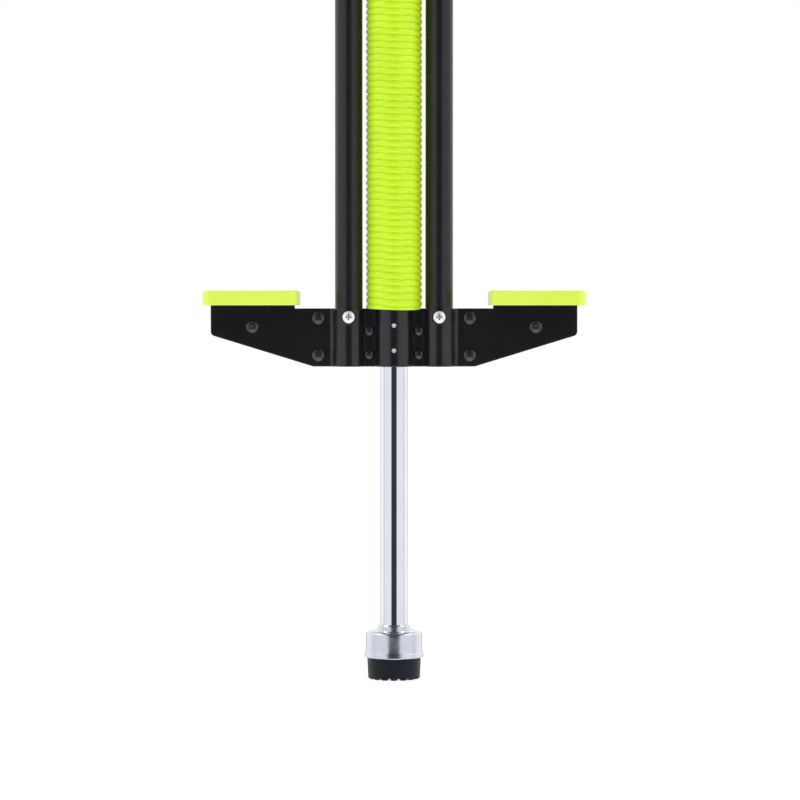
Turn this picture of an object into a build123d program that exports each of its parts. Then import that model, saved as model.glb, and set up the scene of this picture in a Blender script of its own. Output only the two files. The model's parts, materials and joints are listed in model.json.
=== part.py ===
from build123d import *
from math import asin, cos, pi, sin
import os

# A pogo stick. Millimetres, +Z up. X runs from foot pad to foot pad, and the screw heads face -Y.
# The origin is at the bottom centre of the rubber tip, with the piston fully out.

# ---------------------------------------------------------------- driving dimensions
# Frame tubes: 1 inch steel, upright, bent outwards at the top into the handlebar.
tube_r = 12.7
tube_wall = 1.5
tube_x = 41.5
bar_z = 946.0
bar_bend_r = 40.0
bar_end_x = 196.0
plug_flange = 2.0
plug_depth = 14.0
plug_edge = 0.6

# Grips.
grip_r = 16.0
grip_flange_r = 19.0
grip_flange = 4.0
grip_start_x = 84.0
grip_cap = 4.0
grip_edge_r = 3.0

# Lower bracket: two pressed plates that meet on the plane Y = 0.
plate = 1.5
low_z = 287.5
low_h = 53.5
low_half_x = 168.6
low_flat_half_x = 74.3
wing_corner_r = 4.5
wing_corner_z = 316.5
wing_inner_x = 91.2
flange_top_z = 347.5
flange_depth = 34.0
flange_bend_r = 3.0
low_bend_r = 5.0
press_edge_r = 0.5
centre_bulge_r = 18.4
seat_proud = 0.5
seat_r = 6.4

# Upper bracket: the same pressing, cut short beside the tubes.
up_h = 50.0
up_half_x = 72.0
up_corner_r = 6.0
up_bend_r = 2.0

# Foot pads: moulded over the flanges of the wings.
pad_inner_x = 87.0
pad_outer_x = 174.7
pad_bottom_z = 344.0
pad_top_z = 357.4
pad_depth = 38.0
pad_corner_r = 9.0
pad_edge_r = 1.5
pad_draft = 1.5
pad_lip = 3.0
tread_pitch = 8.0
tread_groove = 3.4
tread_deep = 1.2
tread_margin = 6.0

# Fasteners.
rivet_shank_r = 2.5
rivet_head_r = 5.85
rivet_head_h = 2.4
small_shank_r = 2.0
small_head_r = 4.35
small_head_h = 2.2
wing_head_r = 6.0
wing_head_h = 1.8
wing_dimple_r = 2.2
outer_rivet_x = 69.6
outer_rivet_z = (298.0, 332.0)
inner_rivet_x = 22.85
inner_rivet_z = (298.6, 320.3)
wing_rivet = (130.4, 324.2)
screw_r = 3.0
screw_z = 333.0
screw_head_r = 5.5
screw_head_h = 3.6
screw_crown = 1.6
screw_point = 0.8
cross_w = 1.4
cross_len = 5.4
cross_deep = 1.8
nut_flats = 10.0
nut_h = 5.0
screw_tail = 1.5
pin_r = 2.05
pin_z = (302.4, 325.4)
pin_proud = 0.6
pin_edge = 0.4

# Ribbed spring cover, standing between the two brackets.
cover_r = 25.75
cover_bore_r = 22.25
cover_rib_pitch = 6.0
cover_ribs = 78
cover_rib_deep = 2.4

# Piston and what slides with it.
piston_r = 12.7
piston_wall = 1.5
piston_bottom_z = 14.0
piston_top_z = 630.0
running_gap = 0.1
bushing_flange_r = 21.0
bushing_flange = 2.0
bumper_r = 22.1
bumper_top_z = 348.8
bumper_edge_r = 1.0
seat_z = 349.0
seat_h = 7.0
seat_flange_r = 21.5
seat_pin_r = 2.5
seat_pin_half = 19.0
seat_pin_edge = 0.5
washer_h = 2.0
washer_gap = 0.1
top_bush_len = 30.0
top_bush_flange = 3.0

# Main spring and the rod inside it.
wire_r = 3.0
coil_r = 18.5
coils = 44
rod_r = 9.5
rod_wall = 2.0
rod_bottom_z = 515.0
upper_seat_h = 8.0
upper_pilot_h = 10.0
upper_pilot_r = 15.0
upper_pilot_edge = 1.5

# Foot: chromed steel cup welded to the piston, and the rubber tip pushed into it.
cup_r = 26.0
cup_bore_r = 24.85
cup_lip_r = 27.4
cup_lip_z = 20.0
cup_lip_h = 1.0
cup_flare_z = 25.0
cup_top_z = 44.0
cup_shoulder_r = 4.0
cup_roof = 2.0
neck_r = 14.8
neck_top_z = 50.0
neck_lip = 0.5
neck_bevel = 2.2
tip_bottom_r = 23.9
tip_edge = 0.8
tip_washer_h = 2.0
lug_count = 16
lug_slot = 4.2
lug_h = 2.0
lug_ring_r = 17.5
tip_centre_r = 9.0

# ---------------------------------------------------------------- derived dimensions
low_top_z = low_z + low_h
up_z = low_top_z + cover_ribs * cover_rib_pitch
up_top_z = up_z + up_h
up_mid_z = up_z + up_h / 2
bulge_r = tube_r + plate
seat_face = bulge_r + seat_proud
centre_face = centre_bulge_r + seat_proud
bushing_r = centre_bulge_r - plate
upper_seat_z = up_z - upper_seat_h
spring_bottom_z = seat_z + seat_h + washer_gap + washer_h
tube_bottom_z = low_z + plug_flange
up_rivet_x = up_half_x - 8.0
up_rivet_z = (up_z + 11.0, up_top_z - 11.0)
pad_mid_x = (pad_inner_x + pad_outer_x) / 2
pad_len = pad_outer_x - pad_inner_x
pad_h = pad_top_z - pad_bottom_z
flange_mid_x = (wing_inner_x + low_half_x) / 2
flange_len = low_half_x - wing_inner_x

os.makedirs("parts", exist_ok=True)


def across(x, z):
    """The plane through (x, z) that holds the Y direction and Z: a profile on it turns about Y."""
    return Plane(origin=(x, 0, z), x_dir=(0, 1, 0), z_dir=(1, 0, 0))


def y_axis(x, z):
    """The line through (x, z) parallel to Y."""
    return Axis((x, 0, z), (0, 1, 0))


def cap_middle(base, foot, rise):
    """The middle point of a domed head's arc: foot is its radius, rise its height above base."""
    ball = (foot * foot + rise * rise) / (2 * rise)
    turn = asin(min(1.0, foot / ball)) / 2
    return (base + rise - ball + ball * cos(turn), ball * sin(turn))


def rivet(x, z, shank, head, rise, face, dimple=0.0):
    """A rivet along Y with a domed head on each side of a joint that is 2 * face thick."""
    with BuildSketch(across(x, z)) as profile:
        with BuildLine():
            dome = cap_middle(face, head, rise)
            Line((-face - rise, 0), (face + rise, 0))
            ThreePointArc((face + rise, 0), dome, (face, head))
            Polyline((face, head), (face, shank), (-face, shank), (-face, head))
            ThreePointArc((-face, head), (-dome[0], dome[1]), (-face - rise, 0))
        make_face()
    revolve(profile.sketch, axis=y_axis(x, z))
    if dimple:
        top = face + rise + dimple / 2
        with Locations((x, -top, z), (x, top, z)):
            Sphere(dimple, mode=Mode.SUBTRACT)


def y_holes(points, radius, half_depth):
    """Round holes along Y through the part being built."""
    with BuildSketch(Plane.XZ.offset(-half_depth)) as rounds:
        with Locations(*points):
            Circle(radius)
    extrude(rounds.sketch, amount=2 * half_depth, mode=Mode.SUBTRACT)


def both_sides(x, heights):
    """Points at +x and -x for each height."""
    return [(side * x, z) for side in (1, -1) for z in heights]


def pan_screw(x, z, head_face, tail):
    """A cross-recess pan-head screw along Y, its head on the -Y side."""
    top = -head_face - screw_head_h
    with BuildSketch(across(x, z)) as profile:
        with BuildLine():
            shoulder = top + screw_crown
            Line((tail, 0), (top, 0))
            TangentArc((top, 0), (shoulder, screw_head_r), tangent=(0, 1))
            Polyline((shoulder, screw_head_r), (-head_face, screw_head_r), (-head_face, screw_r),
                     (tail - screw_point, screw_r), (tail, screw_r - screw_point), (tail, 0))
        make_face()
    revolve(profile.sketch, axis=y_axis(x, z))
    with BuildSketch(Plane.XZ.offset(-top)) as cross:
        with Locations((x, z)):
            Rectangle(cross_len, cross_w)
            Rectangle(cross_w, cross_len)
    extrude(cross.sketch, amount=-cross_deep, mode=Mode.SUBTRACT)


def hex_nut(x, z, face):
    """A hexagon nut on the +Y side, against a face at +face."""
    with BuildSketch(Plane.XZ.offset(-face)) as hexagon:
        with Locations((x, z)):
            RegularPolygon(nut_flats / 2, 6, major_radius=False)
            Circle(screw_r, mode=Mode.SUBTRACT)
    extrude(hexagon.sketch, amount=-nut_h)


def ring(bottom, height, outer, inner):
    """A plain ring or disc about the piston's axis."""
    with BuildSketch(Plane.XY.offset(bottom)) as annulus:
        Circle(outer)
        if inner:
            Circle(inner, mode=Mode.SUBTRACT)
    extrude(annulus.sketch, amount=height)


def front_bulges(bottom, height, shafts, grow):
    """The front half of a column round each (x, radius) shaft, grow larger than its bore."""
    with BuildSketch(Plane.XY.offset(bottom)) as columns:
        for x, radius in shafts:
            with Locations((x, 0)):
                Circle(radius + grow)
        with Locations((0, up_half_x)):
            Rectangle(4 * up_half_x, 2 * up_half_x, mode=Mode.SUBTRACT)
    return columns.sketch


def soften_pressing(shell, bend_r):
    """Bend radii outboard of the tube bulges, then a rolled edge all round the front face."""
    bends = shell.edges().filter_by(Axis.Z).filter_by(
        lambda edge: abs(abs(edge.center().X) - tube_x - bulge_r) < 0.5 and edge.center().Y < -plate / 2)
    fillet(bends, bend_r)
    flats = shell.faces().filter_by(Axis.Y).filter_by(lambda face: abs(face.center().Y + plate) < 0.01)
    rims = [edge for face in flats for edge in face.edges()
            if edge.length > 5 and abs(edge.center().X) > tube_x + bulge_r + bend_r + 0.5]
    fillet(rims, press_edge_r)
    mouths = [edge for edge in shell.edges().filter_by(GeomType.CIRCLE)
              if abs(edge.radius - bulge_r) < 0.01 or abs(edge.radius - centre_bulge_r) < 0.01]
    chamfer(mouths, press_edge_r)


# ---------------------------------------------------------------- frame tubes, plugs and grips
with BuildPart() as right_frame_tube:
    with BuildLine(Plane.XZ) as run:
        FilletPolyline((tube_x, tube_bottom_z), (tube_x, bar_z), (bar_end_x, bar_z), radius=bar_bend_r)
    with BuildSketch(Plane.XY.offset(tube_bottom_z)):
        with Locations((tube_x, 0)):
            Circle(tube_r)
            Circle(tube_r - tube_wall, mode=Mode.SUBTRACT)
    sweep(path=run.wires()[0])
    y_holes([(tube_x, screw_z), (tube_x, up_mid_z)], screw_r, 2 * tube_r)
right_frame_tube.part.label = "right_frame_tube"
export_step(right_frame_tube.part, "parts/right_frame_tube.step")

with BuildPart() as left_frame_tube:
    mirror(right_frame_tube.part, about=Plane.YZ)
left_frame_tube.part.label = "left_frame_tube"
export_step(left_frame_tube.part, "parts/left_frame_tube.step")

with BuildPart() as right_tube_plug:
    with BuildSketch(Plane.XY.offset(low_z)):
        with Locations((tube_x, 0)):
            Circle(tube_r)
    extrude(amount=plug_flange)
    chamfer(right_tube_plug.edges().group_by(Axis.Z)[0], plug_edge)
    with BuildSketch(Plane.XY.offset(tube_bottom_z)):
        with Locations((tube_x, 0)):
            Circle(tube_r - tube_wall)
            Circle(tube_r - 2 * tube_wall, mode=Mode.SUBTRACT)
    extrude(amount=plug_depth)
right_tube_plug.part.label = "right_tube_plug"
export_step(right_tube_plug.part, "parts/right_tube_plug.step")

with BuildPart() as left_tube_plug:
    mirror(right_tube_plug.part, about=Plane.YZ)
left_tube_plug.part.label = "left_tube_plug"
export_step(left_tube_plug.part, "parts/left_tube_plug.step")

with BuildPart() as right_grip:
    with BuildSketch(Plane.XZ):
        with BuildLine():
            grip_end_x = bar_end_x + grip_cap
            Polyline((grip_start_x, bar_z + tube_r), (grip_start_x, bar_z + grip_flange_r),
                     (grip_start_x + grip_flange, bar_z + grip_flange_r),
                     (grip_start_x + grip_flange, bar_z + grip_r), (grip_end_x, bar_z + grip_r),
                     (grip_end_x, bar_z), (bar_end_x, bar_z), (bar_end_x, bar_z + tube_r),
                     (grip_start_x, bar_z + tube_r))
        make_face()
    revolve(axis=Axis((0, 0, bar_z), (1, 0, 0)))
    fillet(right_grip.edges().group_by(Axis.X)[-1], grip_edge_r)
    rim = right_grip.edges().filter_by(GeomType.CIRCLE).sort_by(lambda edge: edge.radius)[-2:]
    fillet(rim, grip_flange / 3)
right_grip.part.label = "right_grip"
export_step(right_grip.part, "parts/right_grip.step")

with BuildPart() as left_grip:
    mirror(right_grip.part, about=Plane.YZ)
left_grip.part.label = "left_grip"
export_step(left_grip.part, "parts/left_grip.step")

# ---------------------------------------------------------------- lower bracket
# Shafts that the pressings wrap: (x, radius of the shaft).
low_shafts = [(-tube_x, tube_r), (0, bushing_r), (tube_x, tube_r)]

with BuildPart() as lower_bracket_front:
    # The flat web: a bar with tapered wings, taller where it carries the flange.
    with BuildSketch(Plane.XZ) as web:
        with BuildLine():
            half = FilletPolyline((low_flat_half_x, low_z), (low_half_x, wing_corner_z),
                                  (low_half_x, flange_top_z), radius=wing_corner_r)
            Polyline((low_half_x, flange_top_z), (wing_inner_x, flange_top_z),
                     (wing_inner_x, low_top_z), (0, low_top_z), (0, low_z), (low_flat_half_x, low_z))
        make_face()
        mirror(about=Plane.YZ)
    extrude(amount=plate)
    # The flanges under the foot pads, turned out at a right angle over a bend.
    with BuildSketch(Plane.YZ.offset(wing_inner_x)) as flange:
        with BuildLine():
            low = flange_top_z - plate
            Polyline((-plate, low - flange_bend_r), (0, low - flange_bend_r), (0, flange_top_z),
                     (-flange_depth, flange_top_z), (-flange_depth, low), (-plate - flange_bend_r, low))
            ThreePointArc((-plate - flange_bend_r, low),
                          (-plate - flange_bend_r * (1 - sin(pi / 4)),
                           low - flange_bend_r * (1 - cos(pi / 4))),
                          (-plate, low - flange_bend_r))
        make_face()
    extrude(amount=flange_len)
    mirror(about=Plane.YZ)
    # Half-round bulges, flat coined seats for the screw heads, and the bores.
    extrude(front_bulges(low_z, low_h, low_shafts, plate), amount=low_h)
    with BuildSketch(Plane.XZ):
        with Locations((-tube_x, screw_z), (tube_x, screw_z)):
            Circle(seat_r)
    extrude(amount=seat_face)
    extrude(front_bulges(low_z, low_h, low_shafts, 0), amount=low_h, mode=Mode.SUBTRACT)
    soften_pressing(lower_bracket_front, low_bend_r)
    y_holes(both_sides(outer_rivet_x, outer_rivet_z), rivet_shank_r, low_half_x)
    y_holes(both_sides(wing_rivet[0], [wing_rivet[1]]), rivet_shank_r, low_half_x)
    y_holes(both_sides(inner_rivet_x, inner_rivet_z), small_shank_r, low_half_x)
    y_holes(both_sides(tube_x, [screw_z]), screw_r, low_half_x)
    y_holes([(0, z) for z in pin_z], pin_r, low_half_x)
lower_bracket_front.part.label = "lower_bracket_front"
export_step(lower_bracket_front.part, "parts/lower_bracket_front.step")

with BuildPart() as lower_bracket_rear:
    mirror(lower_bracket_front.part, about=Plane.XZ)
lower_bracket_rear.part.label = "lower_bracket_rear"
export_step(lower_bracket_rear.part, "parts/lower_bracket_rear.step")

with BuildPart() as lower_bracket_rivets:
    for x, z in both_sides(outer_rivet_x, outer_rivet_z):
        rivet(x, z, rivet_shank_r, rivet_head_r, rivet_head_h, plate)
    for x, z in both_sides(inner_rivet_x, inner_rivet_z):
        rivet(x, z, small_shank_r, small_head_r, small_head_h, plate)
lower_bracket_rivets.part.label = "lower_bracket_rivets"
export_step(lower_bracket_rivets.part, "parts/lower_bracket_rivets.step")

with BuildPart() as wing_rivets:
    for x, z in both_sides(wing_rivet[0], [wing_rivet[1]]):
        rivet(x, z, rivet_shank_r, wing_head_r, wing_head_h, plate, wing_dimple_r)
wing_rivets.part.label = "wing_rivets"
export_step(wing_rivets.part, "parts/wing_rivets.step")

with BuildPart() as lower_screws:
    for x, z in both_sides(tube_x, [screw_z]):
        pan_screw(x, z, seat_face, seat_face + nut_h + screw_tail)
lower_screws.part.label = "lower_screws"
export_step(lower_screws.part, "parts/lower_screws.step")

with BuildPart() as lower_nuts:
    for x, z in both_sides(tube_x, [screw_z]):
        hex_nut(x, z, seat_face)
lower_nuts.part.label = "lower_nuts"
export_step(lower_nuts.part, "parts/lower_nuts.step")

# ---------------------------------------------------------------- foot pads
with BuildPart() as right_foot_pad:
    with BuildSketch(Plane.XY.offset(pad_bottom_z)):
        with Locations((pad_mid_x, 0)):
            RectangleRounded(pad_len, 2 * pad_depth, pad_corner_r)
    extrude(amount=pad_h, taper=pad_draft)
    fillet(right_foot_pad.edges().group_by(Axis.Z)[-1], pad_edge_r)
    # Anti-slip tread: grooves across the foot, inside a plain rim.
    with BuildSketch(Plane.XY.offset(pad_top_z - tread_deep)):
        with Locations((pad_mid_x, 0)):
            with GridLocations(tread_pitch, 0, int((pad_len - 2 * tread_margin) / tread_pitch), 1):
                SlotOverall(2 * (pad_depth - tread_margin), tread_groove, rotation=90)
    extrude(amount=2 * tread_deep, mode=Mode.SUBTRACT)
    # The pocket that wraps the flange, and the narrower mouth under it.
    with BuildSketch(Plane.XY.offset(flange_top_z - plate)):
        with Locations((flange_mid_x, 0)):
            Rectangle(flange_len, 2 * flange_depth)
    extrude(amount=plate, mode=Mode.SUBTRACT)
    with BuildSketch(Plane.XY.offset(pad_bottom_z)):
        with Locations((flange_mid_x, 0)):
            Rectangle(flange_len, 2 * (flange_depth - pad_lip))
    extrude(amount=pad_lip, mode=Mode.SUBTRACT)
right_foot_pad.part.label = "right_foot_pad"
export_step(right_foot_pad.part, "parts/right_foot_pad.step")

with BuildPart() as left_foot_pad:
    mirror(right_foot_pad.part, about=Plane.YZ)
left_foot_pad.part.label = "left_foot_pad"
export_step(left_foot_pad.part, "parts/left_foot_pad.step")

# ---------------------------------------------------------------- upper bracket
with BuildPart() as upper_bracket_front:
    with BuildSketch(Plane.XZ):
        with Locations((0, up_mid_z)):
            RectangleRounded(2 * up_half_x, up_h, up_corner_r)
    extrude(amount=plate)
    extrude(front_bulges(up_z, up_h, low_shafts, plate), amount=up_h)
    with BuildSketch(Plane.XZ):
        with Locations((-tube_x, up_mid_z), (tube_x, up_mid_z)):
            Circle(seat_r)
    extrude(amount=seat_face)
    with BuildSketch(Plane.XZ):
        with Locations((0, up_mid_z)):
            Circle(seat_r)
    extrude(amount=centre_face)
    extrude(front_bulges(up_z, up_h, low_shafts, 0), amount=up_h, mode=Mode.SUBTRACT)
    soften_pressing(upper_bracket_front, up_bend_r)
    y_holes(both_sides(up_rivet_x, up_rivet_z), rivet_shank_r, low_half_x)
    y_holes(both_sides(inner_rivet_x, up_rivet_z), small_shank_r, low_half_x)
    y_holes([(-tube_x, up_mid_z), (0, up_mid_z), (tube_x, up_mid_z)], screw_r, low_half_x)
upper_bracket_front.part.label = "upper_bracket_front"
export_step(upper_bracket_front.part, "parts/upper_bracket_front.step")

with BuildPart() as upper_bracket_rear:
    mirror(upper_bracket_front.part, about=Plane.XZ)
upper_bracket_rear.part.label = "upper_bracket_rear"
export_step(upper_bracket_rear.part, "parts/upper_bracket_rear.step")

with BuildPart() as upper_bracket_rivets:
    for x, z in both_sides(up_rivet_x, up_rivet_z):
        rivet(x, z, rivet_shank_r, rivet_head_r, rivet_head_h, plate)
    for x, z in both_sides(inner_rivet_x, up_rivet_z):
        rivet(x, z, small_shank_r, small_head_r, small_head_h, plate)
upper_bracket_rivets.part.label = "upper_bracket_rivets"
export_step(upper_bracket_rivets.part, "parts/upper_bracket_rivets.step")

with BuildPart() as upper_screws:
    for x, z in both_sides(tube_x, [up_mid_z]):
        pan_screw(x, z, seat_face, seat_face + nut_h + screw_tail)
upper_screws.part.label = "upper_screws"
export_step(upper_screws.part, "parts/upper_screws.step")

with BuildPart() as guide_rod_bolt:
    pan_screw(0, up_mid_z, centre_face, centre_face + nut_h + screw_tail)
guide_rod_bolt.part.label = "guide_rod_bolt"
export_step(guide_rod_bolt.part, "parts/guide_rod_bolt.step")

with BuildPart() as upper_nuts:
    for x, z in both_sides(tube_x, [up_mid_z]):
        hex_nut(x, z, seat_face)
    hex_nut(0, up_mid_z, centre_face)
upper_nuts.part.label = "upper_nuts"
export_step(upper_nuts.part, "parts/upper_nuts.step")

# ---------------------------------------------------------------- spring cover
with BuildPart() as spring_cover:
    with BuildSketch(Plane.XZ):
        with BuildLine():
            valley_r = cover_r - cover_rib_deep
            for rib in range(cover_ribs):
                foot = low_top_z + rib * cover_rib_pitch
                ThreePointArc((valley_r, foot), (cover_r, foot + cover_rib_pitch / 2),
                              (valley_r, foot + cover_rib_pitch))
            Polyline((valley_r, up_z), (cover_bore_r, up_z), (cover_bore_r, low_top_z),
                     (valley_r, low_top_z))
        make_face()
    revolve(axis=Axis.Z)
spring_cover.part.label = "spring_cover"
export_step(spring_cover.part, "parts/spring_cover.step")

# ---------------------------------------------------------------- guide and stop pieces in the frame
with BuildPart() as piston_bushing:
    ring(low_z, low_h, bushing_r, piston_r + running_gap)
    ring(low_top_z, bushing_flange, bushing_flange_r, piston_r + running_gap)
    y_holes([(0, z) for z in pin_z], pin_r, low_half_x)
piston_bushing.part.label = "piston_bushing"
export_step(piston_bushing.part, "parts/piston_bushing.step")

with BuildPart() as bushing_pins:
    pin_len = centre_bulge_r + pin_proud - piston_r - 5 * running_gap
    for z in pin_z:
        with BuildSketch(Plane.XZ.offset(piston_r + 5 * running_gap)):
            with Locations((0, z)):
                Circle(pin_r)
        extrude(amount=pin_len)
    chamfer(bushing_pins.edges().group_by(Axis.Y)[0], pin_edge)
    mirror(about=Plane.XZ)
bushing_pins.part.label = "bushing_pins"
export_step(bushing_pins.part, "parts/bushing_pins.step")

with BuildPart() as rebound_bumper:
    bumper_z = low_top_z + bushing_flange
    ring(bumper_z, bumper_top_z - bumper_z, bumper_r, piston_r + 5 * running_gap)
    fillet(rebound_bumper.edges().group_by(Axis.Z)[-1], bumper_edge_r)
rebound_bumper.part.label = "rebound_bumper"
export_step(rebound_bumper.part, "parts/rebound_bumper.step")

with BuildPart() as upper_spring_seat:
    ring(upper_seat_z, upper_seat_h, bumper_r, rod_r)
    ring(upper_seat_z - upper_pilot_h, upper_pilot_h, upper_pilot_r, rod_r)
    chamfer(upper_spring_seat.edges().group_by(Axis.Z)[0].sort_by(SortBy.LENGTH)[-1],
            upper_pilot_edge)
upper_spring_seat.part.label = "upper_spring_seat"
export_step(upper_spring_seat.part, "parts/upper_spring_seat.step")

with BuildPart() as guide_rod:
    ring(rod_bottom_z, up_top_z - rod_bottom_z, rod_r, rod_r - rod_wall)
    y_holes([(0, up_mid_z)], screw_r, 2 * rod_r)
guide_rod.part.label = "guide_rod"
export_step(guide_rod.part, "parts/guide_rod.step")

with BuildPart() as guide_rod_sleeve:
    ring(up_z, up_h, bushing_r, rod_r)
    y_holes([(0, up_mid_z)], screw_r, 2 * bushing_r)
guide_rod_sleeve.part.label = "guide_rod_sleeve"
export_step(guide_rod_sleeve.part, "parts/guide_rod_sleeve.step")

with BuildPart() as main_spring:
    first = spring_bottom_z + wire_r
    rise = upper_seat_z - wire_r - first
    with BuildLine() as coil:
        Helix(pitch=rise / coils, height=rise, radius=coil_r, center=(0, 0, first))
    with BuildSketch(Plane(origin=coil.line @ 0, z_dir=coil.line % 0)):
        Circle(wire_r)
    sweep(path=coil.line, is_frenet=True)
main_spring.part.label = "main_spring"
export_step(main_spring.part, "parts/main_spring.step")

# ---------------------------------------------------------------- pieces that slide
with BuildPart() as thrust_washer:
    ring(seat_z + seat_h + washer_gap, washer_h, seat_flange_r, piston_r + 3 * running_gap)
thrust_washer.part.label = "thrust_washer"
export_step(thrust_washer.part, "parts/thrust_washer.step")

pin_height = seat_z + seat_h / 2
with BuildPart() as lower_spring_seat:
    ring(seat_z, seat_h, seat_flange_r, piston_r)
    y_holes([(0, pin_height)], seat_pin_r, 2 * seat_flange_r)
lower_spring_seat.part.label = "lower_spring_seat"
export_step(lower_spring_seat.part, "parts/lower_spring_seat.step")

with BuildPart() as seat_pin:
    with BuildSketch(Plane.XZ.offset(-seat_pin_half)):
        with Locations((0, pin_height)):
            Circle(seat_pin_r)
    extrude(amount=2 * seat_pin_half)
    chamfer(seat_pin.edges().filter_by(GeomType.CIRCLE), seat_pin_edge)
seat_pin.part.label = "seat_pin"
export_step(seat_pin.part, "parts/seat_pin.step")

with BuildPart() as piston_tube:
    ring(piston_bottom_z, piston_top_z - piston_bottom_z, piston_r, piston_r - piston_wall)
    y_holes([(0, pin_height)], seat_pin_r, 2 * piston_r)
piston_tube.part.label = "piston_tube"
export_step(piston_tube.part, "parts/piston_tube.step")

with BuildPart() as piston_top_bush:
    ring(piston_top_z - top_bush_len, top_bush_len, piston_r - piston_wall, rod_r + running_gap)
    ring(piston_top_z, top_bush_flange, piston_r, rod_r + running_gap)
piston_top_bush.part.label = "piston_top_bush"
export_step(piston_top_bush.part, "parts/piston_top_bush.step")

# ---------------------------------------------------------------- foot
with BuildPart() as foot_cup:
    with BuildSketch(Plane.XZ):
        with BuildLine():
            shoulder = cup_shoulder_r * (1 - sin(pi / 4))
            Polyline((piston_r, cup_top_z - cup_roof), (piston_r, neck_top_z),
                     (piston_r + neck_lip, neck_top_z), (neck_r, neck_top_z - neck_bevel),
                     (neck_r, cup_top_z), (cup_r - cup_shoulder_r, cup_top_z))
            ThreePointArc((cup_r - cup_shoulder_r, cup_top_z), (cup_r - shoulder, cup_top_z - shoulder),
                          (cup_r, cup_top_z - cup_shoulder_r))
            Line((cup_r, cup_top_z - cup_shoulder_r), (cup_r, cup_flare_z))
            Spline((cup_r, cup_flare_z), (cup_lip_r, cup_lip_z + cup_lip_h),
                   tangents=((0, -1), (0.8, -0.6)))
            Polyline((cup_lip_r, cup_lip_z + cup_lip_h), (cup_lip_r, cup_lip_z), (cup_bore_r, cup_lip_z),
                     (cup_bore_r, cup_top_z - cup_roof), (piston_r, cup_top_z - cup_roof))
        make_face()
    revolve(axis=Axis.Z)
foot_cup.part.label = "foot_cup"
export_step(foot_cup.part, "parts/foot_cup.step")

with BuildPart() as foot_tip:
    socket_z = piston_bottom_z - tip_washer_h
    with BuildSketch(Plane.XZ):
        with BuildLine():
            Polyline((0, 0), (tip_bottom_r - tip_edge, 0), (tip_bottom_r, tip_edge), (cup_bore_r, cup_lip_z),
                     (cup_bore_r, cup_top_z - cup_roof), (piston_r, cup_top_z - cup_roof),
                     (piston_r, socket_z), (0, socket_z), (0, 0))
        make_face()
    revolve(axis=Axis.Z)
    # Tread: a ring channel and radial slots leave lugs round the edge.
    with BuildSketch(Plane.XY):
        Circle(lug_ring_r)
        Circle(tip_centre_r, mode=Mode.SUBTRACT)
        with PolarLocations((lug_ring_r + cup_bore_r) / 2, lug_count):
            Rectangle(cup_bore_r - lug_ring_r + 2, lug_slot)
    extrude(amount=lug_h, mode=Mode.SUBTRACT)
foot_tip.part.label = "foot_tip"
export_step(foot_tip.part, "parts/foot_tip.step")

with BuildPart() as tip_washer:
    ring(piston_bottom_z - tip_washer_h, tip_washer_h, piston_r, 0)
tip_washer.part.label = "tip_washer"
export_step(tip_washer.part, "parts/tip_washer.step")
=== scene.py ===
import json
import math

import bmesh
import bpy
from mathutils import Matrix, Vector


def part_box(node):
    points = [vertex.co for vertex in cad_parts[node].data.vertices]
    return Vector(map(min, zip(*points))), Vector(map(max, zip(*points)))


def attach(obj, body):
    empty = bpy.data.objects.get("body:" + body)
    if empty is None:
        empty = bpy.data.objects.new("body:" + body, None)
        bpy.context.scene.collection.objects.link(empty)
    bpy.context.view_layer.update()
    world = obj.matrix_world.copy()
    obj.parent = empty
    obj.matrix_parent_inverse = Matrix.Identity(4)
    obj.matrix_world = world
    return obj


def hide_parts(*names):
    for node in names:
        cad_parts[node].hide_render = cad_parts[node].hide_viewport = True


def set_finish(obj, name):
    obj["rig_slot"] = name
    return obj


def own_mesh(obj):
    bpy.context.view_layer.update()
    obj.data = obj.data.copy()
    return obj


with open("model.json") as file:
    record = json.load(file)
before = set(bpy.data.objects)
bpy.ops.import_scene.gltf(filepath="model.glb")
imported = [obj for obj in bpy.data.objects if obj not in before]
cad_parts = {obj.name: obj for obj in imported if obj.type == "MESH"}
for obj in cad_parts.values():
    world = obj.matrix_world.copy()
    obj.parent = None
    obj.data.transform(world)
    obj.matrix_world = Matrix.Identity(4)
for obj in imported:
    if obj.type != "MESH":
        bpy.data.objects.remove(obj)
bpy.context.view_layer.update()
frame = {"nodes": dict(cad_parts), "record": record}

# The pogo stick stands on its rubber tip at the origin, +Z up, and the camera looks along +Y.
# Every size below is in metres. Places come from the boxes of the CAD nodes.

MM = 0.001
TUBE_FACETS = 96  # round a chromed or painted tube
HEAD_CENTRE = 0.01 * MM  # the outline of a rivet or pin stops this far from its axis
PIECE_CENTRE = 0.02 * MM  # and the outline of a larger turned piece this far
QUARTER = (0.4, 0.8, 1.2, 1.57)  # radians along a small quarter-round, after its start


# ---------------------------------------------------------------- mesh helpers
SAME_POINT = 1e-7  # vertices this close are one
SAME_CAD_POINT = 1e-6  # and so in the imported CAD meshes


def add_piece(name, verts, faces, body, slot, replaced, sharp=35):
    """A mesh piece, smooth except at edges over `sharp` degrees, riding on a body."""
    mesh = bpy.data.meshes.new(name)
    mesh.from_pydata([tuple(vert) for vert in verts], [], faces)
    shape = bmesh.new()
    shape.from_mesh(mesh)
    bmesh.ops.remove_doubles(shape, verts=shape.verts, dist=SAME_POINT)
    bmesh.ops.recalc_face_normals(shape, faces=shape.faces)
    shape.to_mesh(mesh)
    shape.free()
    mesh.shade_smooth()
    mesh.set_sharp_from_angle(angle=math.radians(sharp))
    piece = bpy.data.objects.new(name, mesh)
    bpy.context.scene.collection.objects.link(piece)
    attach(piece, body)
    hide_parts(*replaced)
    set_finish(piece, slot)
    return piece


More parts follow.
